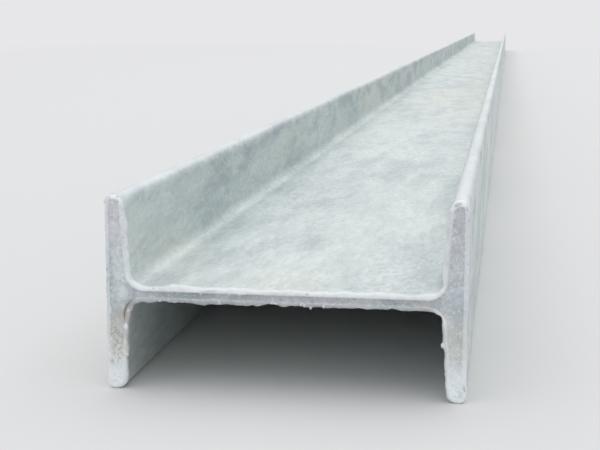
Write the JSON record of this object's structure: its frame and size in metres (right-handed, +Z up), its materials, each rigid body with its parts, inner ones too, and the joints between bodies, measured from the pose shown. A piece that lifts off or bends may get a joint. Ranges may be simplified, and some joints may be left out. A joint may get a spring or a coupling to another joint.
{
  "type": "steel i-beam",
  "caption": "Hot-rolled steel I-beam, a straight stock length with tapered flanges, sawn square at both ends and hot-dip galvanised.",
  "frame": {"origin": "on the floor under the middle of the beam, as it lies on the tips of its flanges with the web level", "axes": "+X across the section from one flange to the other, +Y along the beam, +Z up across the width of the flanges"},
  "size_m": [0.16, 6, 0.088],
  "materials": {
    "galvanised_steel": "dull hot-dip galvanised coating over rolled steel, mottled, with thicker rims and small runs of zinc near the sawn ends"
  },
  "bodies": {
    "root": {"i_beam": "galvanised_steel"}
  },
  "joints": []
}
